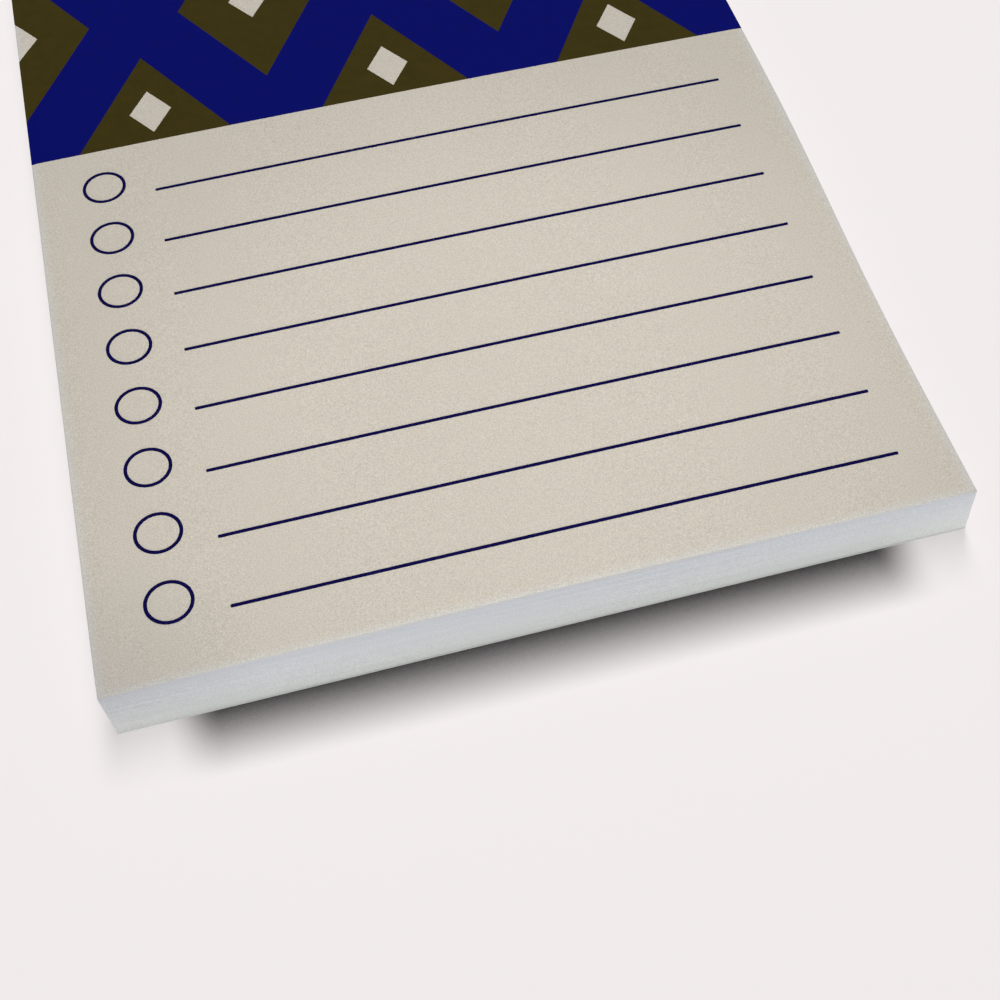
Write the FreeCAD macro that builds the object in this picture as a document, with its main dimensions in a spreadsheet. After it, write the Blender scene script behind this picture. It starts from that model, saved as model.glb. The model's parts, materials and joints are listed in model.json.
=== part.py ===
# A pad of sticky notes, printed as a checklist, lying flat on its backing sheet.
#
# The notes are one guillotined block: many sheets of one size, held at the head by a band of
# low-tack adhesive on the back of each sheet and free at the foot.  The lowest note sticks to a
# backing sheet.  Each note carries the same print: a full-bleed header of lozenges at the head,
# and below it a column of tick rings, each with a ruled line.
#
# Frame: the origin is the middle of the underside.  +X runs along the ruled lines to the right,
# +Y from the foot to the head, +Z up.  Every sub-part is drawn from the left end of the foot
# edge, the corner that a printer measures from, and placed from there.  Lengths are in mm.

import FreeCAD
import Part
import Sketcher
import os

DRIVING_SIZES = (
    ("pad_width", 76.0, "trim width of a note, along the ruled lines"),
    ("pad_length", 102.0, "trim length of a note, from foot to head"),
    ("sheet_count", 75, "notes in the block"),
    ("sheet_thickness", 0.085, "thickness of one note"),
    ("sheet_edge_ease", 0.025, "how far the guillotined edge of each note is broken, top and bottom"),
    ("backing_thickness", 0.2, "thickness of the backing sheet"),
    ("adhesive_depth", 18.0, "how far the adhesive band reaches down from the head"),
    ("adhesive_inset", 1.0, "bare edge left round the adhesive band"),
    ("adhesive_thickness", 0.03, "thickness of the adhesive band under the lowest note"),
    ("ink_thickness", 0.03, "thickness of the printed film on the top note"),
    ("print_stroke", 0.33, "width of a ruled line and of a tick ring's line"),
    ("rule_count", 8, "ruled lines, and tick rings"),
    ("rule_pitch", 7.2, "distance from one ruled line to the next"),
    ("rule_foot_margin", 5.6, "from the foot edge to the middle of the lowest ruled line"),
    ("rule_left_margin", 11.75, "from the left edge to the start of a ruled line"),
    ("rule_right_margin", 4.85, "from the end of a ruled line to the right edge"),
    ("ring_radius", 2.0, "radius of a tick ring, to the middle of its line"),
    ("ring_left_margin", 6.8, "from the left edge to the middle of a tick ring"),
    ("ring_lift", 1.8, "from a ruled line up to the middle of its tick ring"),
    ("lozenge_columns", 3, "lozenges across the header"),
    ("lozenge_width", 15.6, "width of a header lozenge"),
    ("lozenge_height", 26.0, "height of a header lozenge"),
    ("mark_width", 4.4, "width of the bare lozenge inside each printed one"),
    ("mark_height", 6.4, "height of the bare lozenge inside each printed one"),
    ("mark_inset", 4.4, "from the header's lower or upper edge to the middle of the marks beside it"),
)

# Heights at which the pieces seat on each other, from the underside up.
BLOCK_SEAT = "Sizes.backing_thickness"
BLOCK_HEIGHT = "(Sizes.sheet_count * Sizes.sheet_thickness)"
PRINT_SEAT = f"({BLOCK_SEAT} + {BLOCK_HEIGHT})"

# The header starts one rule pitch above the highest ruled line and runs to the head.
HEADER_FOOT = "(Sizes.rule_foot_margin + Sizes.rule_count * Sizes.rule_pitch)"
HEADER_HEIGHT = f"(Sizes.pad_length - {HEADER_FOOT})"
LOZENGE_PITCH = "(Sizes.pad_width / Sizes.lozenge_columns)"

doc = FreeCAD.newDocument("sticky_note_pad")
sub_parts = []


def make_size_sheet():
    """Puts the driving sizes in a spreadsheet, one row each: name, value, meaning."""
    sheet = doc.addObject("Spreadsheet::Sheet", "Sizes")
    for row, (alias, value, meaning) in enumerate(DRIVING_SIZES, start=1):
        sheet.set(f"A{row}", alias)
        sheet.set(f"B{row}", str(value))
        sheet.setAlias(f"B{row}", alias)
        sheet.set(f"C{row}", meaning)
    doc.recompute()


def origin_feature(body, role):
    """One of the body's own origin planes or axes."""
    return next(item for item in body.Origin.OriginFeatures if item.Role == role)


def seat(item, level):
    """Places a body or solid with its drawing corner at the left end of the foot edge."""
    item.setExpression("Placement.Base.x", "-Sizes.pad_width / 2")
    item.setExpression("Placement.Base.y", "-Sizes.pad_length / 2")
    item.setExpression("Placement.Base.z", level)


def add_body(name, level):
    """A body drawn from the left end of the foot edge, seated at the given level."""
    body = doc.addObject("PartDesign::Body", name)
    body.Label = name
    body.AllowCompound = True
    seat(body, level)
    return body


def add_sketch(body, name):
    """An empty sketch on the body's own ground plane."""
    sketch = body.newObject("Sketcher::SketchObject", name)
    sketch.AttachmentSupport = [(origin_feature(body, "XY_Plane"), "")]
    sketch.MapMode = "FlatFace"
    return sketch


def add_outline(sketch, corners):
    """Joins the corners with straight lines into one closed outline and returns the line numbers."""
    points = [FreeCAD.Vector(x, y, 0) for x, y in corners]
    lines = []
    for start, end in zip(points, points[1:] + points[:1]):
        lines.append(sketch.addGeometry(Part.LineSegment(start, end), False))
    for line, following in zip(lines, lines[1:] + lines[:1]):
        sketch.addConstraint(Sketcher.Constraint("Coincident", line, 2, following, 1))
    return lines


def drive(sketch, name, kind, geometry, expression):
    """Adds a named dimension to the sketch and ties it to the size sheet."""
    index = sketch.addConstraint(Sketcher.Constraint(kind, *geometry, 1.0))
    sketch.renameConstraint(index, name)
    sketch.setExpression(f"Constraints.{name}", expression)


def draw_rectangle(sketch, left, foot, width, height):
    """A rectangle given by its lower left corner and its two sides."""
    low, right, high, back = add_outline(sketch, ((1, 1), (2, 1), (2, 2), (1, 2)))
    for line in (low, high):
        sketch.addConstraint(Sketcher.Constraint("Horizontal", line))
    for line in (right, back):
        sketch.addConstraint(Sketcher.Constraint("Vertical", line))
    drive(sketch, "left", "DistanceX", (-1, 1, low, 1), left)
    drive(sketch, "foot", "DistanceY", (-1, 1, low, 1), foot)
    drive(sketch, "width", "DistanceX", (low, 1, low, 2), width)
    drive(sketch, "height", "DistanceY", (right, 1, right, 2), height)


def draw_lozenge(sketch, middle_x, middle_y, width, height):
    """A lozenge given by its middle and its two diagonals."""
    corners = ((5, 1), (9, 5), (5, 9), (1, 5))
    to_right, to_top, to_left, to_foot = add_outline(sketch, corners)
    sketch.addConstraint(Sketcher.Constraint("Equal", to_right, to_top))
    sketch.addConstraint(Sketcher.Constraint("Equal", to_top, to_left))
    sketch.addConstraint(Sketcher.Constraint("Horizontal", to_left, 2, to_right, 2))
    sketch.addConstraint(Sketcher.Constraint("Vertical", to_right, 1, to_left, 1))
    drive(sketch, "middle_x", "DistanceX", (-1, 1, to_right, 1), middle_x)
    drive(sketch, "middle_y", "DistanceY", (-1, 1, to_right, 2), middle_y)
    drive(sketch, "width", "DistanceX", (to_left, 2, to_right, 2), width)
    drive(sketch, "height", "DistanceY", (to_right, 1, to_left, 1), height)


def pad(body, sketch, height):
    """Raises the sketch to the given height."""
    raised = body.newObject("PartDesign::Pad", sketch.Name + "_pad")
    raised.Profile = sketch
    raised.setExpression("Length", height)
    body.Tip = raised
    return raised


def pocket(body, sketch, depth):
    """Cuts the sketch upwards into the body from its ground plane."""
    cut = body.newObject("PartDesign::Pocket", sketch.Name + "_pocket")
    cut.Profile = sketch
    cut.Reversed = True
    cut.setExpression("Length", depth)
    body.Tip = cut
    return cut


def repeat(body, feature, axis, spacing, count, whole_shape=False):
    """Repeats a feature, or all that the body holds so far, in a straight row."""
    row = body.newObject("PartDesign::LinearPattern", feature.Name + "_row")
    if whole_shape:
        row.TransformMode = "Whole shape"
    else:
        row.Originals = [feature]
    row.Direction = (origin_feature(body, axis), [""])
    row.Mode = "Spacing"
    row.setExpression("Offset", spacing)
    row.setExpression("Occurrences", count)
    body.Tip = row
    return row


def hand_in(item):
    """Marks a finished sub-part, to be checked and written under its label."""
    sub_parts.append(item)
    return item


def make_backing_sheet():
    """The plain sheet under the lowest note."""
    body = add_body("backing_sheet", "0")
    outline = add_sketch(body, "backing_outline")
    draw_rectangle(outline, "0", "0", "Sizes.pad_width", "Sizes.pad_length")
    pad(body, outline, "Sizes.backing_thickness")
    return hand_in(body)


def make_note_sheets():
    """The block of notes: one sheet with its cut edges broken, stacked, with a seat for adhesive.

    The broken edges leave a fine groove between each note and the next on all four sides, as the
    edge of a cut block shows its sheets.
    """
    body = add_body("note_sheets", BLOCK_SEAT)
    outline = add_sketch(body, "note_outline")
    draw_rectangle(outline, "0", "0", "Sizes.pad_width", "Sizes.pad_length")
    note = pad(body, outline, "Sizes.sheet_thickness")
    doc.recompute()
    eased = body.newObject("PartDesign::Chamfer", "eased_edges")
    level_edges = [
        f"Edge{number}"
        for number, edge in enumerate(note.Shape.Edges, start=1)
        if edge.BoundBox.ZLength < Part.Precision.confusion() * 10
    ]
    eased.Base = (note, level_edges)
    eased.setExpression("Size", "min(Sizes.sheet_edge_ease; Sizes.sheet_thickness / 3)")
    body.Tip = eased
    doc.recompute()
    repeat(body, eased, "Z_Axis", "Sizes.sheet_thickness", "Sizes.sheet_count", whole_shape=True)
    seat_outline = add_sketch(body, "adhesive_seat_outline")
    draw_adhesive_band(seat_outline)
    pocket(body, seat_outline, "Sizes.adhesive_thickness")
    return hand_in(body)


def draw_adhesive_band(sketch):
    """The band of adhesive across the head, clear of the cut edges."""
    draw_rectangle(
        sketch,
        "Sizes.adhesive_inset",
        "Sizes.pad_length - Sizes.adhesive_inset - Sizes.adhesive_depth",
        "Sizes.pad_width - 2 * Sizes.adhesive_inset",
        "Sizes.adhesive_depth",
    )


def make_adhesive_strip():
    """The adhesive that holds the lowest note to the backing sheet."""
    body = add_body("adhesive_strip", BLOCK_SEAT)
    band = add_sketch(body, "adhesive_outline")
    draw_adhesive_band(band)
    pad(body, band, "Sizes.adhesive_thickness")
    return hand_in(body)


def make_rule_lines():
    """The ruled lines, one film of ink each."""
    body = add_body("rule_lines", PRINT_SEAT)
    line = add_sketch(body, "rule_outline")
    length = "Sizes.pad_width - Sizes.rule_left_margin - Sizes.rule_right_margin"
    foot = "Sizes.rule_foot_margin - Sizes.print_stroke / 2"
    draw_rectangle(line, "Sizes.rule_left_margin", foot, length, "Sizes.print_stroke")
    printed = pad(body, line, "Sizes.ink_thickness")
    repeat(body, printed, "Y_Axis", "Sizes.rule_pitch", "Sizes.rule_count")
    return hand_in(body)


def make_tick_rings():
    """The open rings to tick, one above the left of each ruled line."""
    body = add_body("tick_rings", PRINT_SEAT)
    ring = add_sketch(body, "ring_outline")
    for name, side in (("outer", "+"), ("inner", "-")):
        circle = ring.addGeometry(Part.Circle(FreeCAD.Vector(2, 2, 0), FreeCAD.Vector(0, 0, 1), 1), False)
        radius = f"Sizes.ring_radius {side} Sizes.print_stroke / 2"
        drive(ring, f"{name}_radius", "Radius", (circle,), radius)
        drive(ring, f"{name}_left", "DistanceX", (-1, 1, circle, 3), "Sizes.ring_left_margin")
        lift = "Sizes.rule_foot_margin + Sizes.ring_lift"
        drive(ring, f"{name}_foot", "DistanceY", (-1, 1, circle, 3), lift)
    printed = pad(body, ring, "Sizes.ink_thickness")
    repeat(body, printed, "Y_Axis", "Sizes.rule_pitch", "Sizes.rule_count")
    return hand_in(body)


def lozenge_rows(mark):
    """The three rows of the header, as (name, first middle x, middle y, count).

    The outer rows are halved by the header's lower and upper edges.  The middle row is set half
    a pitch over and runs off the trimmed sides.  A mark in an outer row sits inside what is left
    of its lozenge.
    """
    inset = "Sizes.mark_inset" if mark else "0"
    half = f"{LOZENGE_PITCH} / 2"
    columns = "Sizes.lozenge_columns"
    return (
        ("foot", half, f"{HEADER_FOOT} + {inset}", columns),
        ("middle", "0", f"{HEADER_FOOT} + {HEADER_HEIGHT} / 2", f"{columns} + 1"),
        ("head", half, f"Sizes.pad_length - {inset}", columns),
    )


def cut_lozenges(body):
    """Leaves the places of the printed lozenges open in the header's field."""
    for name, first_x, middle_y, count in lozenge_rows(mark=False):
        sketch = add_sketch(body, f"{name}_lozenge")
        draw_lozenge(sketch, first_x, middle_y, "Sizes.lozenge_width", "Sizes.lozenge_height")
        opening = pocket(body, sketch, "Sizes.ink_thickness")
        repeat(body, opening, "X_Axis", LOZENGE_PITCH, count)


def make_header_field():
    """The field of the header, printed to the trimmed edges, open where the lozenges go."""
    body = add_body("header_field", PRINT_SEAT)
    outline = add_sketch(body, "field_outline")
    draw_rectangle(outline, "0", HEADER_FOOT, "Sizes.pad_width", HEADER_HEIGHT)
    pad(body, outline, "Sizes.ink_thickness")
    cut_lozenges(body)
    return hand_in(body)


def make_header_lozenges(field):
    """The printed lozenges, which fill the openings in the field and leave a bare mark in each."""
    header = doc.addObject("Part::Box", "header_area")
    header.setExpression("Length", "Sizes.pad_width")
    header.setExpression("Width", HEADER_HEIGHT)
    header.setExpression("Height", "Sizes.ink_thickness")
    header.setExpression("Placement.Base.x", "-Sizes.pad_width / 2")
    header.setExpression("Placement.Base.y", f"-Sizes.pad_length / 2 + {HEADER_FOOT}")
    header.setExpression("Placement.Base.z", PRINT_SEAT)
    marks = add_body("lozenge_marks", PRINT_SEAT)
    for name, first_x, middle_y, count in lozenge_rows(mark=True):
        sketch = add_sketch(marks, f"{name}_mark")
        draw_lozenge(sketch, first_x, middle_y, "Sizes.mark_width", "Sizes.mark_height")
        mark = pad(marks, sketch, "Sizes.ink_thickness")
        repeat(marks, mark, "X_Axis", LOZENGE_PITCH, count)
    lozenges = doc.addObject("Part::Cut", "solid_lozenges")
    lozenges.Base = header
    lozenges.Tool = field
    printed = doc.addObject("Part::Cut", "header_lozenges")
    printed.Label = "header_lozenges"
    printed.Base = lozenges
    printed.Tool = marks
    return hand_in(printed)


def check_document():
    """Stops if any object failed to build or any sub-part is not a set of sound solids."""
    for item in doc.Objects:
        faults = {"Invalid", "Error"} & set(item.State)
        if faults:
            raise RuntimeError(f"{item.Label} is {', '.join(sorted(faults))}")
    for item in sub_parts:
        shape = item.Shape
        if shape.isNull() or not shape.isValid() or not shape.Solids:
            raise RuntimeError(f"{item.Label} has no sound solid")


def write_parts():
    """Writes each sub-part's solids to a file named after it, and prints what each one holds."""
    os.makedirs("parts", exist_ok=True)
    for item in sub_parts:
        item.Shape.exportStep(f"parts/{item.Label}.step")
        box = item.Shape.BoundBox
        print(
            f"{item.Label:16s} {len(item.Shape.Solids):2d} solids {len(item.Shape.Faces):4d} faces "
            f"{item.Shape.Volume:10.3f} mm3  z {box.ZMin:.3f} to {box.ZMax:.3f}"
        )


make_size_sheet()
make_backing_sheet()
make_note_sheets()
make_adhesive_strip()
make_rule_lines()
make_tick_rings()
make_header_lozenges(make_header_field())
doc.recompute()
check_document()
write_parts()
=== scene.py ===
import json
import math

import bmesh
import bpy
from bpy.props import FloatProperty, FloatVectorProperty, IntProperty, PointerProperty
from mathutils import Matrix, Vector, noise

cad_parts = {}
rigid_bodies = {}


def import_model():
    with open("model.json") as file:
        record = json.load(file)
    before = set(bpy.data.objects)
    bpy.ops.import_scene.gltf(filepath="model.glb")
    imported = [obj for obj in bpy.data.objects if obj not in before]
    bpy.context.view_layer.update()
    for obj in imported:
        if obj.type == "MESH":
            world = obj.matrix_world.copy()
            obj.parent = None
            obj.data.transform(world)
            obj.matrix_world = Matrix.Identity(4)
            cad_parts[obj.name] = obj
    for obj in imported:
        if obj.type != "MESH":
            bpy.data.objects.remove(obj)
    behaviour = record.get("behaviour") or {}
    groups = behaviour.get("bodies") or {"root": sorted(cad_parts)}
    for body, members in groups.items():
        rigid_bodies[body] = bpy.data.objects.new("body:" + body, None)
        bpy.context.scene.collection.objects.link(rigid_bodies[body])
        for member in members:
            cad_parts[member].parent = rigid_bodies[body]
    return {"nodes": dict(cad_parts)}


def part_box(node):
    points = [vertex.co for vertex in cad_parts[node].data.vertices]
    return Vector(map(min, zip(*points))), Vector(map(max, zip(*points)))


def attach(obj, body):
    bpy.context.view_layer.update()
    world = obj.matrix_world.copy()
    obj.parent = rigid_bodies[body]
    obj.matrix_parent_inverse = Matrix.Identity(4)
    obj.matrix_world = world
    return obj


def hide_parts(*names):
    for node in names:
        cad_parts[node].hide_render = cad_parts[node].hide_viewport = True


bl_info = {
    "name": "Sticky Note Pad",
    "version": (1, 0, 0),
    "blender": (4, 5, 0),
    "location": "View3D > Sidebar > Note Pad",
    "description": "Dresses a pad of printed sticky notes and sets it on a studio floor",
    "category": "Object",
}

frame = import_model()

MM = 0.001

# Two places nearer than this are the same place.
HAIR = 0.001 * MM

# In metres: corners nearer than the first are merged, and a cut this near a corner goes through it.
MERGE_REACH = 1e-7
CUT_REACH = 1e-8

# The pad's own corners, from the frame: the block of notes and the print on its top note.
BLOCK_LOW, BLOCK_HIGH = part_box("note_sheets")
HEADER_LOW, HEADER_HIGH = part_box("header_field")
RULES_LOW, RULES_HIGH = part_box("rule_lines")
RINGS_LOW, RINGS_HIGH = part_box("tick_rings")
BLOCK_MIDDLE = (BLOCK_LOW + BLOCK_HIGH) / 2
BLOCK_HALF = (BLOCK_HIGH - BLOCK_LOW) / 2

# A guillotined sheet's edge as the block's wall shows it: shares of the sheet's thickness.
EDGE_RISES = (0.0, 0.28, 0.72)

# How far in from the cut edge the top note starts to follow the block's rolled rim.
RIM_STEPS = (0.12 * MM, 0.25 * MM, 0.45 * MM)
RIM_REACH = sum(RIM_STEPS)

# How much of the rim's own colour shows at the cut edge itself.
RIM_SHARE = 0.7

# The right side's trim wanders in waves of this length, and lies furthest in at this place along it.
TRIM_WAVE = 58 * MM
TRIM_WAIST = -30 * MM

# The middle of those waves lies this share of their height outside the trim line.
TRIM_LEAD = 0.2

# How fast the forms of wear fade: the roll and the droop down the block, the trim in from its sides.
ROLL_FADE = 6
DROOP_FADE = 3
TRIM_FADE = 12

# How far over the notes the painted shade at their front left corner spreads from it.
PAINTED_SHADE_REACH = 14 * MM


def from_screen(red, green, blue):
    """A screen colour of 0 to 255 as the linear red, green, blue and alpha that shaders take."""
    return tuple((level / 255) ** 2.2 for level in (red, green, blue)) + (1.0,)


def colour(name, description, screen):
    """A colour setting, given as a screen colour."""
    return FloatVectorProperty(
        name=name, description=description, default=from_screen(*screen),
        subtype="COLOR", size=4, min=0.0, max=1.0,
    )


def length(name, description, millimetres):
    """A length setting, given in millimetres."""
    return FloatProperty(
        name=name, description=description, default=millimetres * MM,
        subtype="DISTANCE", unit="LENGTH", precision=5,
    )


def angle(name, description, degrees):
    """An angle setting, given in degrees."""
    return FloatProperty(
        name=name, description=description, default=math.radians(degrees),
        subtype="ANGLE", unit="ROTATION",
    )


def power(name, description, watts):
    """A lamp's power setting, given in watts."""
    return FloatProperty(name=name, description=description, default=watts, min=0.0, unit="POWER")


def share(name, description, default, most=1.0):
    """A plain number from nothing to the most it may be."""
    return FloatProperty(name=name, description=description, default=default, min=0.0, max=most)


class BlockSettings(bpy.types.PropertyGroup):
    """The block of notes: how evenly it was cut, and its paper."""

    sheet_thickness: length("Sheet thickness", "Thickness of one note", 0.085)
    crown: length("Crown", "How much lower the block lies at its sides than in its middle", 0.25)
    rim_roll: length("Rim roll", "How far the blade drags the top notes down at the cut edge", 0.06)
    groove: length("Groove", "Depth of the gap that shows between two cut edges", 0.012)
    scatter: length("Scatter", "How unevenly the notes' edges line up", 0.022)
    twist: angle("Twist", "How far the foot of the block has turned under its top", 0.31)
    trim_wave: length("Trim wave", "How far the trim of the right side wanders in and out", 0.2)
    overcut: length("Overcut", "How far outside their size the notes were cut at either side", 0.09)
    droop: length("Droop", "How far the handled corner at the front left bends down", 0.26)
    droop_reach: length("Droop reach", "How far from the corner the bend starts", 9.0)
    face_colour: colour("Face", "Printed side of the paper", (190, 183, 171))
    # Painted light: the edges' cool tint, darker and bluer near the top and lighter towards the foot.
    upper_edge_colour: colour("Upper edges", "Cut edges near the top of the block", (188, 192, 199))
    lower_edge_colour: colour("Lower edges", "Cut edges near the foot of the block", (207, 210, 207))
    backing_colour: colour("Backing", "Release paper under the block", (198, 201, 198))
    adhesive_colour: colour("Adhesive", "Low-tack adhesive at the head", (214, 208, 188))
    # A colour between the face's and the cut edges', blended in along the top note's cut edge and at the
    # top of the walls.
    rim_colour: colour("Rim", "Fibres left standing along the top note's edge", (193, 192, 188))
    # Painted shade at the front left corner: its colour, and how much of it there is at the corner itself.
    painted_shade_colour: colour("Soil", "What handling leaves on the corner at the front left", (146, 143, 143))
    painted_shade: share("Soil amount", "How much soil there is at the corner itself", 0.33)


class PrintSettings(bpy.types.PropertyGroup):
    """The print on the top note: its inks, and the lines that repeat."""

    line_count: IntProperty(name="Lines", description="Ruled lines, and tick rings", default=8, min=2)
    stroke: length("Stroke", "Width of a printed line", 0.33)
    ring_segments: IntProperty(name="Ring segments", description="Sides of a tick ring", default=96, min=24)
    field_colour: colour("Field", "Ink of the header's field", (6, 15, 94))
    lozenge_colour: colour("Lozenges", "Ink of the header's lozenges", (57, 50, 20))
    line_colour: colour("Line ink", "Ink of the ruled lines and tick rings", (15, 12, 62))


class StageSettings(bpy.types.PropertyGroup):
    """The floor, the lamps and the camera."""

    floor_colour: colour("Floor", "Plain pale floor", (249, 243, 243))
    backdrop_colour: colour("Backdrop", "What shows past the floor", (241, 235, 235))
    # The painted shadow on the floor in front of the pad's foot.
    contact_shade: length("Contact shade", "How far from the pad the floor dims where it meets it", 6.3)
    shadow_strength: share("Shadow strength", "How dark the floor gets at the pad", 1.45, most=3.0)
    floor_glow: share("Floor glow", "Share of the floor's own colour in what the camera sees", 0.6)
    room_light: share("Room light", "Even light from all round", 0.12)
    key_power: power("Key power", "Softbox behind the head", 87.0)
    key_distance: length("Key distance", "From the pad to the softbox", 3000.0)
    key_bearing: angle("Key bearing", "Direction of the softbox, turned from the head to the right", 14.0)
    key_height: angle("Key height", "Angle of the softbox above the floor", 70.0)
    key_width: length("Key width", "Width of the softbox", 900.0)
    key_depth: length("Key depth", "Height of the softbox", 2600.0)
    fill_power: power("Fill power", "Low fill at the foot, on the pad alone", 7.4)
    fill_height: angle("Fill height", "Angle of the low fill above the floor", 6.0)
    fill_distance: length("Fill distance", "From the pad to the low fill", 1000.0)
    pool_power: power("Pool power", "Spot overhead, on the pad alone", 3.1)
    pool_width: length("Pool width", "Width of the soft pool of light", 100.0)
    pool_distance: length("Pool distance", "From the pad to the spot", 600.0)
    camera_place: FloatVectorProperty(
        name="Camera", description="Where the camera stands", subtype="XYZ", unit="LENGTH",
        default=(-16.834 * MM, -120.017 * MM, 123.511 * MM),
    )
    camera_turn: FloatVectorProperty(
        name="Camera turn", description="Which way the camera looks", subtype="EULER", unit="ROTATION",
        default=[math.radians(degrees) for degrees in (34.394, 1.232, -14.641)],
    )
    focal_length: FloatProperty(name="Focal length", description="On a 36 mm sensor", default=58.782)
    frame_shift: FloatVectorProperty(
        name="Shift", description="Shift of the frame, sideways and up", size=2, default=(-0.035, 0.00045),
    )


class Recipe:
    """A material in the making: one Principled shader, fed by patterns on Object coordinates."""

    def __init__(self, name, roughness, specular):
        self.material = bpy.data.materials.new(name)
        self.material.use_nodes = True
        self.tree = self.material.node_tree
        self.shader = self.tree.nodes["Principled BSDF"]
        self.shader.inputs["Roughness"].default_value = roughness
        self.shader.inputs["Specular IOR Level"].default_value = specular
        self.place = self.node("ShaderNodeTexCoord").outputs["Object"]

    def node(self, kind, **settings):
        """Adds a node and sets its own properties."""
        made = self.tree.nodes.new(kind)
        for name, value in settings.items():
            setattr(made, name, value)
        return made

    def feed(self, socket, source):
        """Links a source to a socket, or writes a plain value into it."""
        if isinstance(source, bpy.types.NodeSocket):
            self.tree.links.new(source, socket)
        else:
            socket.default_value = source

    def maths(self, operation, *sources):
        """A Math node on links or plain numbers."""
        made = self.node("ShaderNodeMath", operation=operation)
        for socket, source in zip(made.inputs, sources):
            self.feed(socket, source)
        return made.outputs["Value"]

    def pattern(self, size, detail=2.0):
        """Noise whose features are about size across, or one size for each axis."""
        sizes = size if isinstance(size, tuple) else (size,) * 3
        mapping = self.node("ShaderNodeMapping")
        self.feed(mapping.inputs["Vector"], self.place)
        mapping.inputs["Scale"].default_value = [1 / each for each in sizes]
        made = self.node("ShaderNodeTexNoise")
        self.feed(made.inputs["Vector"], mapping.outputs["Vector"])
        made.inputs["Scale"].default_value = 1.0
        made.inputs["Detail"].default_value = detail
        return made.outputs["Fac"]

    def blend(self, factor, first, second):
        """A colour between two colours."""
        made = self.node("ShaderNodeMix", data_type="RGBA")
        self.feed(made.inputs["Factor"], factor)
        self.feed(made.inputs["A"], first)
        self.feed(made.inputs["B"], second)
        return made.outputs["Result"]

    def span(self, source, low, high, start=0.0, end=1.0, shape="LINEAR"):
        """Maps a value from one range to another and holds it there."""
        made = self.node("ShaderNodeMapRange", interpolation_type=shape)
        names = ("Value", "From Min", "From Max", "To Min", "To Max")
        for name, value in zip(names, (source, low, high, start, end)):
            self.feed(made.inputs[name], value)
        return made.outputs["Result"]

    def scaled(self, tint, level):
        """A colour, lighter or darker by a level."""
        made = self.node("ShaderNodeVectorMath", operation="SCALE")
        linked = isinstance(tint, bpy.types.NodeSocket)
        self.feed(made.inputs["Vector"], tint if linked else tuple(tint)[:3])
        self.feed(made.inputs["Scale"], level)
        return made.outputs["Vector"]

    def vary(self, tint, amounts):
        """Lightens and darkens a colour by the sum of patterns, each with its own amount."""
        level = 1.0
        for pattern, amount in amounts:
            change = self.maths("MULTIPLY", self.maths("SUBTRACT", pattern, 0.5), amount)
            level = self.maths("ADD", level, change)
        return self.scaled(tint, level)

    def axis(self, name):
        """One of the place's own coordinates."""
        made = self.node("ShaderNodeSeparateXYZ")
        self.feed(made.inputs["Vector"], self.place)
        return made.outputs[name]

    def finish(self, tint, relief=None, depth=0.0):
        """Sets the colour, and the relief if there is one, and hands over the material."""
        self.feed(self.shader.inputs["Base Color"], tint)
        if relief is not None:
            bump = self.node("ShaderNodeBump")
            bump.inputs["Distance"].default_value = depth
            self.feed(bump.inputs["Height"], relief)
            self.feed(self.shader.inputs["Normal"], bump.outputs["Normal"])
        return self.material


def specks(recipe, spacing, radius, kept):
    """Sparse round flecks: one in some cells of a net, as 1 inside a fleck and 0 outside."""
    cells = recipe.node("ShaderNodeTexVoronoi", feature="F1", voronoi_dimensions="3D")
    recipe.feed(cells.inputs["Vector"], recipe.place)
    cells.inputs["Scale"].default_value = 1 / spacing
    inside = recipe.maths("LESS_THAN", cells.outputs["Distance"], radius / spacing)
    chance = recipe.node("ShaderNodeSeparateColor")
    recipe.feed(chance.inputs["Color"], cells.outputs["Color"])
    return recipe.maths("MULTIPLY", inside, recipe.maths("LESS_THAN", chance.outputs["Red"], kept))


def with_painted_shade(recipe, paper, painted_shade, amount):
    """Paper a little darker towards the corner at the front left, as painted shade."""
    away = recipe.node("ShaderNodeVectorMath", operation="DISTANCE")
    recipe.feed(away.inputs[0], recipe.place)
    away.inputs[1].default_value = (BLOCK_LOW.x, BLOCK_LOW.y, BLOCK_HIGH.z)
    return recipe.blend(recipe.span(away.outputs["Value"], PAINTED_SHADE_REACH, 0.0, 0.0, amount), paper, painted_shade)


def near_cut(recipe):
    """One at the top note's cut edges, falling to nothing a little way in from them."""
    along, across = (
        recipe.span(recipe.maths("ABSOLUTE", recipe.axis(name)), reach - RIM_REACH, reach)
        for name, reach in (("Y", BLOCK_HALF.y), ("X", BLOCK_HALF.x))
    )
    return recipe.maths("MAXIMUM", along, across)


def paper_face(tint, rim, painted_shade, amount):
    """Uncoated writing paper: a cloudy sheet with fine fibres and a few dark flecks."""
    recipe = Recipe("paper_face", roughness=0.9, specular=0.2)
    cloud = recipe.pattern(14 * MM, detail=3.0)
    fibre = recipe.pattern((0.07 * MM, 0.35 * MM, 0.35 * MM), detail=2.0)
    grain = recipe.pattern(0.11 * MM, detail=2.0)
    sheet = recipe.blend(recipe.maths("MULTIPLY", near_cut(recipe), RIM_SHARE), tint, rim)
    # Painted shade darkens the sheet towards its front left corner.
    sheet = recipe.vary(with_painted_shade(recipe, sheet, painted_shade, amount), ((cloud, 0.06), (fibre, 0.2), (grain, 0.8)))
    fleck_colour, fleck_strength = from_screen(96, 88, 78), 0.55
    flecks = specks(recipe, spacing=9 * MM, radius=0.11 * MM, kept=0.35)
    sheet = recipe.blend(recipe.maths("MULTIPLY", flecks, fleck_strength), sheet, fleck_colour)
    return recipe.finish(sheet, relief=recipe.maths("ADD", grain, fibre), depth=0.006 * MM)


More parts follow.
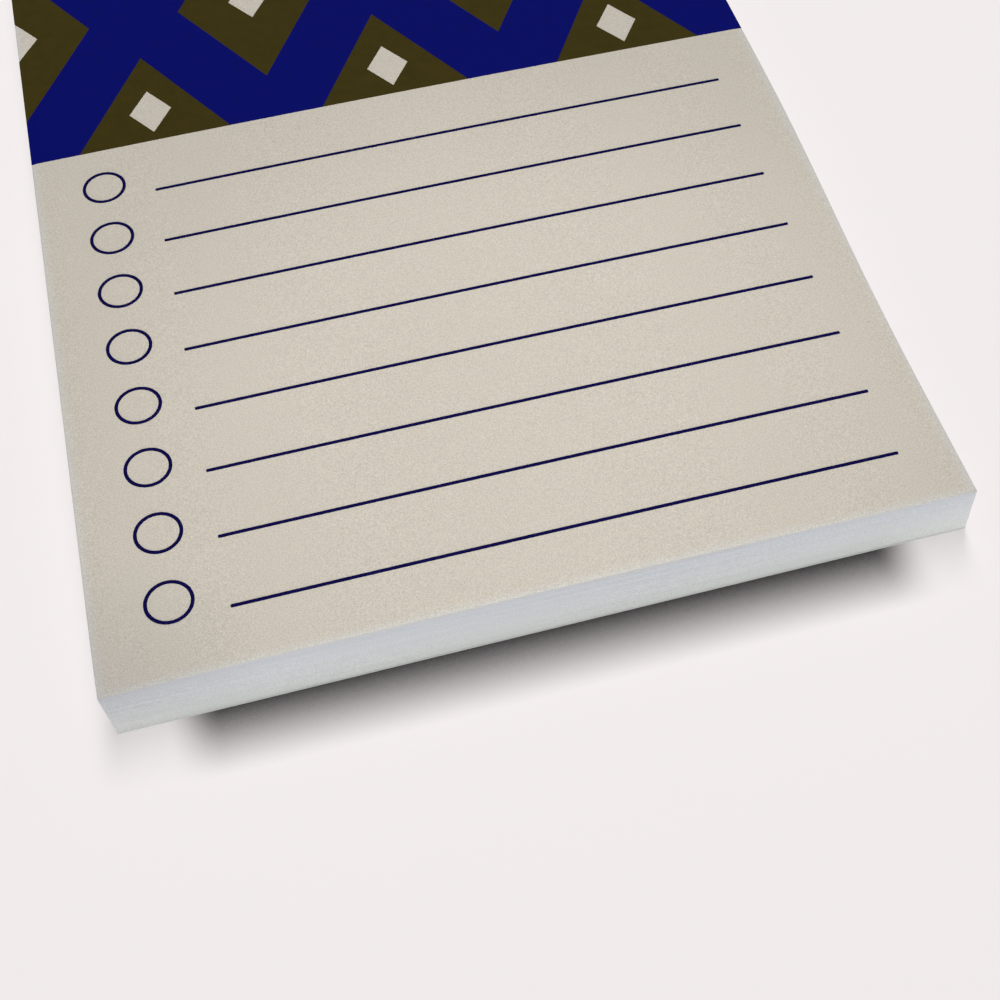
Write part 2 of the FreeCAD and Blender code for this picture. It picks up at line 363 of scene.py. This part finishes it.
def cut_edges(upper, lower, ink, rim, painted_shade, amount):
    """The cut edges of many sheets: level streaks, sheet by sheet, cooler than the face: the cool tint is
    painted light.

    Beside the header the print runs off the trimmed edges, so the streaks there carry its ink.
    """
    recipe = Recipe("cut_edges", roughness=0.95, specular=0.1)
    sheets = recipe.pattern((30 * MM, 30 * MM, 0.1 * MM), detail=1.0)
    bands = recipe.pattern((45 * MM, 45 * MM, 0.7 * MM), detail=2.0)
    grain = recipe.pattern(0.12 * MM, detail=2.0)
    # Painted light: darker and bluer near the top, lighter towards the foot.
    height = recipe.span(recipe.axis("Z"), BLOCK_LOW.z, BLOCK_HIGH.z)
    paper = recipe.blend(height, lower, upper)
    top = recipe.span(recipe.axis("Z"), BLOCK_HIGH.z - RIM_REACH, BLOCK_HIGH.z, 0.0, RIM_SHARE)
    # Painted shade darkens the edges towards the front left corner.
    paper = with_painted_shade(recipe, recipe.blend(top, paper, rim), painted_shade, amount)
    paper = recipe.vary(paper, ((sheets, 0.12), (bands, 0.08), (grain, 0.5)))
    beside_header = recipe.maths("GREATER_THAN", recipe.axis("Y"), HEADER_LOW.y)
    streaks = recipe.span(sheets, low=0.42, high=0.66, start=0.04, end=0.34)
    inked = recipe.maths("MULTIPLY", beside_header, streaks)
    return recipe.finish(recipe.blend(inked, paper, ink), relief=grain, depth=0.01 * MM)


def solid_ink(name, tint, paper):
    """Offset ink laid solid on uncoated paper: faint mottle, and pinholes where the fibres show."""
    recipe = Recipe(name, roughness=0.7, specular=0.03)
    mottle = recipe.pattern(1.4 * MM, detail=3.0)
    grain = recipe.pattern(0.16 * MM, detail=3.0)
    film = recipe.vary(tint, ((mottle, 0.35), (grain, 0.5)))
    pinholes = recipe.span(grain, low=0.72, high=0.85, start=0.0, end=0.05)
    return recipe.finish(recipe.blend(pinholes, film, paper), relief=grain, depth=0.004 * MM)


def release_paper(tint):
    """Smooth coated backing paper."""
    recipe = Recipe("release_paper", roughness=0.5, specular=0.35)
    cloud = recipe.pattern(20 * MM, detail=2.0)
    grain = recipe.pattern(0.3 * MM, detail=2.0)
    return recipe.finish(recipe.vary(tint, ((cloud, 0.05), (grain, 0.06))), relief=grain, depth=0.002 * MM)


def low_tack_adhesive(tint):
    """Beads of adhesive, spread thin."""
    recipe = Recipe("low_tack_adhesive", roughness=0.4, specular=0.5)
    beads = recipe.pattern(0.25 * MM, detail=2.0)
    return recipe.finish(recipe.vary(tint, ((beads, 0.2),)), relief=beads, depth=0.01 * MM)


def material_named(name, make, *colours):
    """The material of that name, made the first time that it is asked for."""
    return bpy.data.materials.get(name) or make(*colours)


def edge_distance(point):
    """How far a point of the top note lies from the nearest cut edge."""
    return min(BLOCK_HALF.x - abs(point.x - BLOCK_MIDDLE.x), BLOCK_HALF.y - abs(point.y - BLOCK_MIDDLE.y))


def settle(bm, block):
    """Moves what was built square and flat to where the used block holds it.

    The block is crowned, its rim is rolled, one corner droops, its right side is trimmed in a
    wave, and its lower sheets have turned a little under the upper ones.
    """
    middle = BLOCK_MIDDLE
    for vert in bm.verts:
        place = vert.co.copy()
        rise = max(0.0, min(1.0, (place.z - BLOCK_LOW.z) / (BLOCK_HIGH.z - BLOCK_LOW.z)))
        across = (place.x - middle.x) / (BLOCK_HIGH.x - middle.x)
        near_edge = max(0.0, 1.0 - max(0.0, edge_distance(place)) / RIM_REACH)
        near_corner = max(0.0, 1.0 - (place - BLOCK_LOW).xy.length / block.droop_reach)
        vert.co.z -= block.crown * across ** 2 * rise
        vert.co.z -= block.rim_roll * near_edge ** 2 * rise ** ROLL_FADE
        vert.co.z -= block.droop * near_corner ** 2 * rise ** DROOP_FADE
        wave = TRIM_LEAD - math.cos(math.tau * (place.y - TRIM_WAIST) / TRIM_WAVE)
        near_side = abs(across) ** TRIM_FADE
        vert.co.x += math.copysign(block.overcut, across) * near_side
        if across > 0:
            vert.co.x += block.trim_wave * wave * near_side
        turn = block.twist * (1.0 - rise)
        out = vert.co - middle
        vert.co.x = middle.x + out.x * math.cos(turn) - out.y * math.sin(turn)
        vert.co.y = middle.y + out.x * math.sin(turn) + out.y * math.cos(turn)


def rule_over(bm, lines, axis):
    """Cuts a flat shape along lines across one axis, so that it can bend there."""
    normal = Vector((0.0, 0.0, 0.0))
    normal[axis] = 1.0
    for place in lines:
        point = normal * place
        geometry = bm.verts[:] + bm.edges[:] + bm.faces[:]
        bmesh.ops.bisect_plane(bm, geom=geometry, dist=CUT_REACH, plane_co=point, plane_no=normal)


def bend_lines(low, high, rim_low, rim_high, step):
    """Even lines from low to high, with those that a rolled rim needs at either end."""
    count = math.ceil((high - low) / step)
    lines = [low + (high - low) * index / count for index in range(1, count)]
    reach = 0.0
    for rim_step in RIM_STEPS:
        reach += rim_step
        lines += [low + reach] * rim_low + [high - reach] * rim_high
    return sorted(lines)


def hand_over(name, bm, materials, node):
    """Makes a piece of the finished mesh, which stands for a node and rides with the pad."""
    mesh = bpy.data.meshes.new(name)
    bm.to_mesh(mesh)
    bm.free()
    piece = bpy.data.objects.new(name, mesh)
    bpy.context.scene.collection.objects.link(piece)
    for material in materials:
        mesh.materials.append(material)
    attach(piece, "root")
    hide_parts(node)
    return piece


def copy_of(node):
    """A node's own mesh, merged, to be bent."""
    bm = bmesh.new()
    bm.from_mesh(frame["nodes"][node].data)
    bmesh.ops.remove_doubles(bm, verts=bm.verts, dist=MERGE_REACH)
    return bm


def block_materials(context):
    """The paper of the printed side, and of the cut edges."""
    block, inks = context.scene.note_block, context.scene.note_print
    # The rim's colour, and the painted shade at the front left corner with its amount.
    rim_and_painted_shade = (tuple(block.rim_colour), tuple(block.painted_shade_colour), block.painted_shade)
    face = material_named("paper_face", paper_face, tuple(block.face_colour), *rim_and_painted_shade)
    tints = (block.upper_edge_colour, block.lower_edge_colour, inks.field_colour)
    edges = material_named("cut_edges", cut_edges, *(tuple(each) for each in tints), *rim_and_painted_shade)
    return face, edges


class NOTEPAD_OT_block(bpy.types.Operator):
    """Builds the block of notes: a stack of cut sheets, each with its own edge"""

    bl_idname = "notepad.block"
    bl_label = "Block of Notes"

    # Cells of the footprint, across and along.
    cells = (26, 34)
    # Length of the waves in a cut edge, and of the bands in which neighbouring sheets shift.
    wave = 28 * MM
    band = 0.9 * MM
    # How far apart in the noise two neighbouring sheets are read.
    sheet_step = 3.7
    # Shares of the scatter that the waves and the bands take up, and of a groove's depth that changes.
    wave_share = 0.25
    band_share = 0.25
    groove_change = 0.8
    # A face whose normal rises this much or more faces up.
    upward = 0.9

    def execute(self, context):
        block = context.scene.note_block
        size = BLOCK_HIGH - BLOCK_LOW
        sheets = round(size.z / block.sheet_thickness)
        bm = self.raise_stack(size, sheets)
        self.trim(bm, block, size, sheets)
        self.add_rim(bm)
        for face in bm.faces:
            level = face.calc_center_median().z
            is_sheet = level > BLOCK_HIGH.z - HAIR or level < BLOCK_LOW.z + HAIR
            face.material_index = int(not is_sheet)
            face.smooth = is_sheet
        settle(bm, block)
        hand_over("note_block", bm, block_materials(context), "note_sheets")
        return {"FINISHED"}

    def raise_stack(self, size, sheets):
        """Extrudes the footprint and divides its walls into the edges of the sheets."""
        bm = bmesh.new()
        bmesh.ops.create_grid(bm, x_segments=self.cells[0], y_segments=self.cells[1], size=0.5)
        bmesh.ops.scale(bm, vec=(size.x, size.y, 1.0), verts=bm.verts)
        bmesh.ops.translate(bm, vec=(BLOCK_MIDDLE.x, BLOCK_MIDDLE.y, BLOCK_LOW.z), verts=bm.verts)
        raised = bmesh.ops.extrude_face_region(bm, geom=bm.faces[:])
        top = [item for item in raised["geom"] if isinstance(item, bmesh.types.BMVert)]
        bmesh.ops.translate(bm, vec=(0.0, 0.0, size.z), verts=top)
        bmesh.ops.recalc_face_normals(bm, faces=bm.faces[:])
        uprights = [edge for edge in bm.edges if abs(edge.verts[0].co.z - edge.verts[1].co.z) > size.z / 2]
        bmesh.ops.subdivide_edges(bm, edges=uprights, cuts=sheets * len(EDGE_RISES) - 1, use_grid_fill=True)
        return bm

    def trim(self, bm, block, size, sheets):
        """Sets each ring of the walls to its height in its sheet, and in by groove and scatter."""
        ring_step = size.z / (sheets * len(EDGE_RISES))
        for vert in bm.verts:
            ring = round((vert.co.z - BLOCK_LOW.z) / ring_step)
            sheet, part = divmod(ring, len(EDGE_RISES))
            if edge_distance(vert.co) > HAIR:
                continue
            vert.co.z = BLOCK_LOW.z + (sheet + EDGE_RISES[part]) * block.sheet_thickness
            inset = self.edge_inset(block, vert.co, sheet, part)
            for axis in (0, 1):
                out = vert.co[axis] - BLOCK_MIDDLE[axis]
                if abs(out) > size[axis] / 2 - HAIR:
                    vert.co[axis] -= math.copysign(inset, out)

    def edge_inset(self, block, place, sheet, part):
        """How far in from the trim line an edge lies at this place."""
        wave = noise.noise(Vector((place.x / self.wave, place.y / self.wave, sheet * self.sheet_step)))
        drift = noise.noise(Vector((place.x / self.wave, place.y / self.wave, place.z / self.band)))
        inset = block.scatter * (0.5 + self.wave_share * wave + self.band_share * drift)
        if part == 0 and place.z < BLOCK_HIGH.z - HAIR:
            inset += block.groove * (1.0 + self.groove_change * wave)
        return max(0.0, inset)

    def add_rim(self, bm):
        """Rings of faces just inside the top note's cut edge, for the rolled rim."""
        upper = [face for face in bm.faces if face.calc_center_median().z > BLOCK_HIGH.z - MM]
        top = [
            face for face in upper
            if face.normal.z > self.upward and edge_distance(face.calc_center_median()) > MM
        ]
        for step in RIM_STEPS:
            bmesh.ops.inset_region(bm, faces=top, thickness=step, use_boundary=True, use_even_offset=True)
        bm.normal_update()


class NOTEPAD_OT_backing(bpy.types.Operator):
    """Finishes the backing sheet and the adhesive that holds the lowest note to it"""

    bl_idname = "notepad.backing"
    bl_label = "Backing Sheet and Adhesive"

    def execute(self, context):
        block = context.scene.note_block
        paper = release_paper(tuple(block.backing_colour))
        adhesive = low_tack_adhesive(tuple(block.adhesive_colour))
        self.turn("backing_sheet", "release_sheet", paper, "backing_paper", block)
        self.turn("adhesive_strip", "adhesive_band", adhesive, "adhesive", block)
        return {"FINISHED"}

    def turn(self, node, name, material, slot, block):
        """Turns a copy of a flat layer with the foot of the block."""
        bm = copy_of(node)
        settle(bm, block)
        hand_over(name, bm, (material,), node)


class NOTEPAD_OT_header(bpy.types.Operator):
    """Lays the header's two inks on the crowned top note, edge to edge"""

    bl_idname = "notepad.header"
    bl_label = "Header Print"

    bend_step = 3.0 * MM

    def execute(self, context):
        block, inks = context.scene.note_block, context.scene.note_print
        paper = tuple(block.face_colour)
        field = solid_ink("field_ink", tuple(inks.field_colour), paper)
        lozenge = solid_ink("lozenge_ink", tuple(inks.lozenge_colour), paper)
        self.lay("header_field", "header_field_print", field, "blue_ink", block)
        self.lay("header_lozenges", "header_lozenge_print", lozenge, "olive_ink", block)
        return {"FINISHED"}

    def lay(self, node, name, material, slot, block):
        """Bends a copy of a flat film over the block."""
        bm = copy_of(node)
        across = bend_lines(HEADER_LOW.x, HEADER_HIGH.x, True, True, self.bend_step)
        along = bend_lines(HEADER_LOW.y, HEADER_HIGH.y, False, True, HEADER_HIGH.y - HEADER_LOW.y)
        rule_over(bm, across, axis=0)
        rule_over(bm, along, axis=1)
        bmesh.ops.dissolve_degenerate(bm, dist=HAIR, edges=bm.edges[:])
        settle(bm, block)
        hand_over(name, bm, (material,), node)


class NOTEPAD_OT_lines(bpy.types.Operator):
    """Prints the ruled lines and the tick rings on the crowned top note"""

    bl_idname = "notepad.lines"
    bl_label = "Ruled Lines and Tick Rings"

    # Bends along a ruled line, and how far its ends are rounded.
    line_cells = 24
    end_round = 0.1 * MM

    def execute(self, context):
        inks = context.scene.note_print
        paper = tuple(context.scene.note_block.face_colour)
        ink = solid_ink("line_ink", tuple(inks.line_colour), paper)
        self.print_row(context, "rule_lines", "ruled_lines", RULES_LOW, RULES_HIGH, self.draw_line, ink)
        self.print_row(context, "tick_rings", "tick_ring_print", RINGS_LOW, RINGS_HIGH, self.draw_ring, ink)
        return {"FINISHED"}

    def print_row(self, context, node, name, low, high, draw, ink):
        """Repeats one printed shape from the lowest to the highest, and raises it to a film."""
        inks = context.scene.note_print
        bm = bmesh.new()
        width = high.x - low.x
        height = inks.stroke if node == "rule_lines" else width
        pitch = (high.y - low.y - height) / (inks.line_count - 1)
        for index in range(inks.line_count):
            place = Vector(((low.x + high.x) / 2, low.y + height / 2 + index * pitch, low.z))
            draw(bm, inks, place, width)
        raised = bmesh.ops.extrude_face_region(bm, geom=bm.faces[:])
        top = [item for item in raised["geom"] if isinstance(item, bmesh.types.BMVert)]
        bmesh.ops.translate(bm, vec=(0.0, 0.0, high.z - low.z), verts=top)
        bmesh.ops.recalc_face_normals(bm, faces=bm.faces[:])
        settle(bm, context.scene.note_block)
        hand_over(name, bm, (ink,), node)

    def draw_line(self, bm, inks, place, width):
        """One ruled line, with its ends a little rounded."""
        made = bmesh.ops.create_grid(bm, x_segments=self.line_cells, y_segments=1, size=0.5)
        bmesh.ops.scale(bm, vec=(width, inks.stroke, 1.0), verts=made["verts"])
        bmesh.ops.translate(bm, vec=place, verts=made["verts"])
        end = width / 2 - HAIR
        corners = [vert for vert in made["verts"] if abs(vert.co.x - place.x) > end]
        bmesh.ops.bevel(
            bm, geom=corners, offset=self.end_round, segments=3,
            profile=0.5, affect="VERTICES", material=-1,
        )

    def draw_ring(self, bm, inks, place, width):
        """One tick ring."""
        loops = []
        for radius in (width / 2, width / 2 - inks.stroke):
            made = bmesh.ops.create_circle(bm, cap_ends=False, radius=radius, segments=inks.ring_segments)
            bmesh.ops.translate(bm, vec=place, verts=made["verts"])
            loops += {edge for vert in made["verts"] for edge in vert.link_edges}
        bmesh.ops.bridge_loops(bm, edges=loops)


class NOTEPAD_OT_stage(bpy.types.Operator):
    """Sets the pad on a pale floor, with a softbox behind the head, a low fill and the camera"""

    bl_idname = "notepad.stage"
    bl_label = "Stage"

    floor_size = 6.0
    shade_normal = (0.17, 0.69, 0.7)
    # The shade fades in between these distances from the pad's sides, and over this one under its foot.
    shade_ends = (3.8 * MM, 8.6 * MM)
    shade_lead = 0.5 * MM
    shade_curve = 1.25
    shade_samples = 16
    # Between these distances from the pad, the lamps' fall-off gives way to the floor's own colour.
    glow_reach = (0.25, 1.2)
    fill_size = (1.2, 0.2)
    fill_bearing = math.radians(190.0)
    pool_middle = (1.5 * MM, -31 * MM)
    pool_bearing = math.radians(14.0)
    pool_height = math.radians(75.0)
    pool_softness = 0.01
    sensor_width = 36.0
    nearest = 0.01
    furthest = 20.0

    def execute(self, context):
        stage = context.scene.note_stage
        context.scene.view_settings.view_transform = "Standard"
        pad = self.gather_pad(context)
        self.lay_floor(stage)
        self.light_room(context, stage)
        key = self.make_softbox("key", stage.key_power, stage.key_width, stage.key_depth)
        self.hang(key, stage.key_bearing, stage.key_height, stage.key_distance)
        fill = self.make_softbox("fill", stage.fill_power, *self.fill_size)
        self.hang(fill, self.fill_bearing, stage.fill_height, stage.fill_distance, only=pad)
        pool = bpy.data.lights.new("pool", "SPOT")
        pool.energy = stage.pool_power
        pool.spot_size = 2 * math.atan(stage.pool_width / 2 / stage.pool_distance)
        pool.spot_blend = 1.0
        pool.shadow_soft_size = self.pool_softness
        self.hang(
            pool, self.pool_bearing, self.pool_height, stage.pool_distance,
            over=self.pool_middle, only=pad,
        )
        self.set_camera(context, stage)
        return {"FINISHED"}

    def gather_pad(self, context):
        """A list of the pad's own pieces, for the lamps that light nothing else."""
        pad = bpy.data.collections.new("pad")
        for piece in context.scene.objects:
            if piece.type == "MESH":
                pad.objects.link(piece)
        return pad

    def lay_floor(self, stage):
        """A wide plain floor at the level that the pad stands on, dimmed where the pad meets it."""
        bm = bmesh.new()
        bmesh.ops.create_grid(bm, x_segments=1, y_segments=1, size=self.floor_size / 2)
        mesh = bpy.data.meshes.new("floor")
        bm.to_mesh(mesh)
        bm.free()
        floor = bpy.data.objects.new("floor", mesh)
        bpy.context.scene.collection.objects.link(floor)
        mesh.materials.append(self.floor_paint(stage))

    def floor_paint(self, stage):
        """The floor's plain colour: it keeps the pad's cast shadow, and a painted shadow darkens it in
        front of the pad's foot.
        """
        recipe = Recipe("floor", roughness=1.0, specular=0.0)
        turned = recipe.node("ShaderNodeMapping")
        recipe.feed(turned.inputs["Vector"], recipe.place)
        turned.inputs["Rotation"].default_value.z = -bpy.context.scene.note_block.twist
        recipe.place = turned.outputs["Vector"]
        # Painted shadow: occlusion towards the key darkens the floor's colour in front of the pad's foot,
        # fading out near the pad's ends.
        shade = recipe.node("ShaderNodeAmbientOcclusion", samples=self.shade_samples)
        shade.inputs["Distance"].default_value = stage.contact_shade
        towards_key = recipe.node("ShaderNodeCombineXYZ")
        for axis, part in zip("XYZ", self.shade_normal):
            towards_key.inputs[axis].default_value = part
        recipe.feed(shade.inputs["Normal"], towards_key.outputs["Vector"])
        across = recipe.maths("ABSOLUTE", recipe.axis("X"))
        in_front = recipe.span(recipe.axis("Y"), BLOCK_LOW.y + self.shade_lead, BLOCK_LOW.y)
        ends = [BLOCK_HALF.x - each for each in self.shade_ends]
        between_ends = recipe.span(across, *ends, shape="SMOOTHSTEP")
        masked = recipe.maths("MULTIPLY", in_front, between_ends)
        strength = recipe.maths("MULTIPLY", masked, stage.shadow_strength)
        hidden = recipe.maths("POWER", recipe.maths("SUBTRACT", 1.0, shade.outputs["AO"]), self.shade_curve)
        left = recipe.maths("SUBTRACT", 1.0, recipe.maths("MULTIPLY", hidden, strength))
        level = recipe.maths("MAXIMUM", left, 0.0)
        painted = recipe.scaled(stage.floor_colour, level)
        glowing = recipe.scaled(stage.backdrop_colour, level)
        away = recipe.node("ShaderNodeVectorMath", operation="LENGTH")
        recipe.feed(away.inputs[0], recipe.place)
        glow_share = recipe.span(away.outputs["Value"], *self.glow_reach, stage.floor_glow, 1.0)
        glow = recipe.node("ShaderNodeEmission")
        recipe.feed(glow.inputs["Color"], glowing)
        both = recipe.node("ShaderNodeMixShader")
        seen = self.seen_as_backdrop(recipe.tree)
        recipe.feed(both.inputs["Fac"], recipe.maths("MULTIPLY", seen, glow_share))
        recipe.feed(both.inputs[1], recipe.shader.outputs["BSDF"])
        recipe.feed(both.inputs[2], glow.outputs["Emission"])
        recipe.feed(recipe.tree.nodes["Material Output"].inputs["Surface"], both.outputs["Shader"])
        return recipe.finish(painted)

    def seen_as_backdrop(self, tree):
        """One where the camera or gloss looks straight at what this tree paints, and nothing elsewhere."""
        path = tree.nodes.new("ShaderNodeLightPath")
        seen = path.outputs["Is Camera Ray"]
        for name in ("Is Glossy Ray", "Is Transmission Ray"):
            either = tree.nodes.new("ShaderNodeMath")
            either.operation = "MAXIMUM"
            tree.links.new(seen, either.inputs[0])
            tree.links.new(path.outputs[name], either.inputs[1])
            seen = either.outputs["Value"]
        return seen

    def light_room(self, context, stage):
        """Even room light, and a pale backdrop where the camera and gloss look past the floor."""
        world = bpy.data.worlds.new("room")
        context.scene.world = world
        world.use_nodes = True
        tree = world.node_tree
        room = tree.nodes["Background"]
        room.inputs["Strength"].default_value = stage.room_light
        backdrop = tree.nodes.new("ShaderNodeBackground")
        backdrop.inputs["Color"].default_value = tuple(stage.backdrop_colour)
        room.inputs["Color"].default_value = (1.0, 1.0, 1.0, 1.0)
        choose = tree.nodes.new("ShaderNodeMixShader")
        tree.links.new(self.seen_as_backdrop(tree), choose.inputs["Fac"])
        tree.links.new(room.outputs["Background"], choose.inputs[1])
        tree.links.new(backdrop.outputs["Background"], choose.inputs[2])
        tree.links.new(choose.outputs["Shader"], tree.nodes["World Output"].inputs["Surface"])

    def make_softbox(self, name, watts, width, depth):
        """A lamp with a wide even face."""
        data = bpy.data.lights.new(name, "AREA")
        data.energy = watts
        data.shape = "RECTANGLE"
        data.size, data.size_y = width, depth
        return data

    def hang(self, data, bearing, height, distance, over=(0.0, 0.0), only=None):
        """Hangs a lamp so that it looks at the pad from a bearing and a height."""
        lamp = bpy.data.objects.new(data.name, data)
        bpy.context.scene.collection.objects.link(lamp)
        level = math.cos(height)
        away = Vector((math.sin(bearing) * level, math.cos(bearing) * level, math.sin(height)))
        lamp.location = away * distance + Vector((*over, 0.0))
        lamp.rotation_mode = "QUATERNION"
        lamp.rotation_quaternion = away.to_track_quat("Z", "Y")
        lamp.visible_camera = False
        if only is not None:
            lamp.light_linking.receiver_collection = only

    def set_camera(self, context, stage):
        """The camera, above the foot of the pad and a little to its left."""
        data = bpy.data.cameras.new("camera")
        data.lens = stage.focal_length
        data.sensor_width = self.sensor_width
        data.shift_x, data.shift_y = stage.frame_shift
        data.clip_start, data.clip_end = self.nearest, self.furthest
        camera = bpy.data.objects.new("camera", data)
        context.scene.collection.objects.link(camera)
        camera.location = stage.camera_place
        camera.rotation_euler = stage.camera_turn
        context.scene.camera = camera


class NOTEPAD_PT_panel(bpy.types.Panel):
    """The steps and settings of the pad, in the 3D view's sidebar"""

    bl_idname = "NOTEPAD_PT_panel"
    bl_label = "Note Pad"
    bl_space_type = "VIEW_3D"
    bl_region_type = "UI"
    bl_category = "Note Pad"

    def draw(self, context):
        layout = self.layout
        for group, settings, steps in PARTS:
            layout.label(text=settings.bl_rna.description or group)
            for name in settings.__annotations__:
                layout.prop(getattr(context.scene, group), name)
            for step in steps:
                layout.operator(step.bl_idname)


# What the panel lists: each group of settings with the steps that read it.
PARTS = (
    ("note_block", BlockSettings, (NOTEPAD_OT_block, NOTEPAD_OT_backing)),
    ("note_print", PrintSettings, (NOTEPAD_OT_header, NOTEPAD_OT_lines)),
    ("note_stage", StageSettings, (NOTEPAD_OT_stage,)),
)


def register():
    """Adds the settings, the steps and the panel to Blender."""
    for group, settings, steps in PARTS:
        bpy.utils.register_class(settings)
        setattr(bpy.types.Scene, group, PointerProperty(type=settings))
        for step in steps:
            bpy.utils.register_class(step)
    bpy.utils.register_class(NOTEPAD_PT_panel)


def unregister():
    """Takes them out again."""
    bpy.utils.unregister_class(NOTEPAD_PT_panel)
    for group, settings, steps in reversed(PARTS):
        for step in reversed(steps):
            bpy.utils.unregister_class(step)
        delattr(bpy.types.Scene, group)
        bpy.utils.unregister_class(settings)


def main():
    """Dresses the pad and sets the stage."""
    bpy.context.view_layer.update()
    register()
    bpy.ops.notepad.block()
    bpy.ops.notepad.backing()
    bpy.ops.notepad.header()
    bpy.ops.notepad.lines()
    bpy.ops.notepad.stage()


if __name__ == "__main__":
    main()
